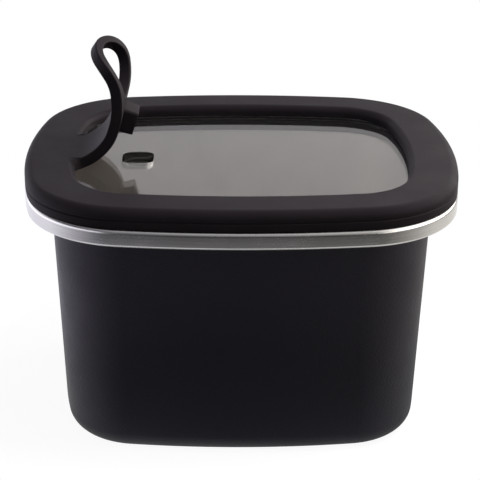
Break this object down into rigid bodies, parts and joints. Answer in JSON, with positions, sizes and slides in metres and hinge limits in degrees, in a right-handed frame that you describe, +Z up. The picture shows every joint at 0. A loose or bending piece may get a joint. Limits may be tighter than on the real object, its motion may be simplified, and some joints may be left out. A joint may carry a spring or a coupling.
{
  "type": "stainless steel food container",
  "caption": "Rounded rectangular black-coated steel food container with a bare rolled rim and a glass lid in a silicone ring, whose pull strap plugs a steam vent.",
  "frame": {"origin": "centre of the base, on the surface that the container stands on", "axes": "+Z up, +X along the longer side and away from the strap's root, +Y to the back"},
  "size_m": [0.1574, 0.138, 0.1382],
  "materials": {
    "steel": "satin",
    "coating": "fine matte powder coat",
    "silicone": "matte",
    "glass": "clear"
  },
  "bodies": {
    "container": {"steel_shell": "steel", "outer_coating": "coating"},
    "lid": {"glass_pane": "glass", "lid_ring": "silicone"},
    "strap_root": {"strap_root": "silicone"},
    "strap_lower": {"strap_lower": "silicone"},
    "strap_middle": {"strap_middle": "silicone"},
    "strap_plug_seat": {"strap_plug_seat": "silicone", "vent_plug": "silicone"},
    "loop_base": {"loop_base": "silicone"},
    "loop_lower": {"loop_lower_near": "silicone", "loop_lower_far": "silicone"},
    "loop_upper": {"loop_upper_near": "silicone", "loop_upper_far": "silicone"},
    "loop_end": {"loop_end": "silicone"}
  },
  "joints": [
    {"name": "lid_lift", "type": "slide", "parent": "container", "child": "lid", "axis": [0, 0, 1], "range_m": [0, 0.12]},
    {"name": "strap_root_bend", "type": "hinge", "parent": "lid", "child": "strap_root", "pos_m": [-0.0577, 0, 0.0956], "axis": [0, -1, 0], "range_deg": [-27.8, 6], "stiffness_Nm_per_rad": 0.01, "springref_deg": -27.8},
    {"name": "strap_lower_bend", "type": "hinge", "parent": "strap_root", "child": "strap_lower", "pos_m": [-0.05344, 0, 0.09785], "axis": [0, -1, 0], "range_deg": [-12.9, 3.18]},
    {"name": "strap_middle_bend", "type": "hinge", "parent": "strap_lower", "child": "strap_middle", "pos_m": [-0.04976, 0, 0.10096], "axis": [0, -1, 0], "range_deg": [-14.5, 3.52]},
    {"name": "strap_plug_seat_bend", "type": "hinge", "parent": "strap_middle", "child": "strap_plug_seat", "pos_m": [-0.04694, 0, 0.10486], "axis": [0, -1, 0], "range_deg": [-19, 4.49]},
    {"name": "loop_base_bend", "type": "hinge", "parent": "strap_plug_seat", "child": "loop_base", "pos_m": [-0.04382, 0, 0.11489], "axis": [-0.0785, -0.9646, -0.2519], "range_deg": [-13.8, 3.37]},
    {"name": "loop_lower_bend", "type": "hinge", "parent": "loop_base", "child": "loop_lower", "pos_m": [-0.04337, 0.00004, 0.12062], "axis": [-0.0785, -0.9646, -0.2519], "range_deg": [-11.3, 2.83]},
    {"name": "loop_upper_bend", "type": "hinge", "parent": "loop_lower", "child": "loop_upper", "pos_m": [-0.04404, 0.00018, 0.12708], "axis": [-0.0785, -0.9646, -0.2519], "range_deg": [-26.1, 6.03]},
    {"name": "loop_end_bend", "type": "hinge", "parent": "loop_upper", "child": "loop_end", "pos_m": [-0.04731, 0.00077, 0.13267], "axis": [-0.0785, -0.9646, -0.2519], "range_deg": [-25.6, 5.92]}
  ],
  "couplings": [
    {"joint": "strap_lower_bend", "follows": "strap_root_bend", "ratio": 0.44604},
    {"joint": "strap_middle_bend", "follows": "strap_root_bend", "ratio": 0.5036},
    {"joint": "strap_plug_seat_bend", "follows": "strap_root_bend", "ratio": 0.66547},
    {"joint": "loop_base_bend", "follows": "strap_root_bend", "ratio": 0.47842},
    {"joint": "loop_lower_bend", "follows": "strap_root_bend", "ratio": 0.38849},
    {"joint": "loop_upper_bend", "follows": "strap_root_bend", "ratio": 0.92086},
    {"joint": "loop_end_bend", "follows": "strap_root_bend", "ratio": 0.90288}
  ]
}
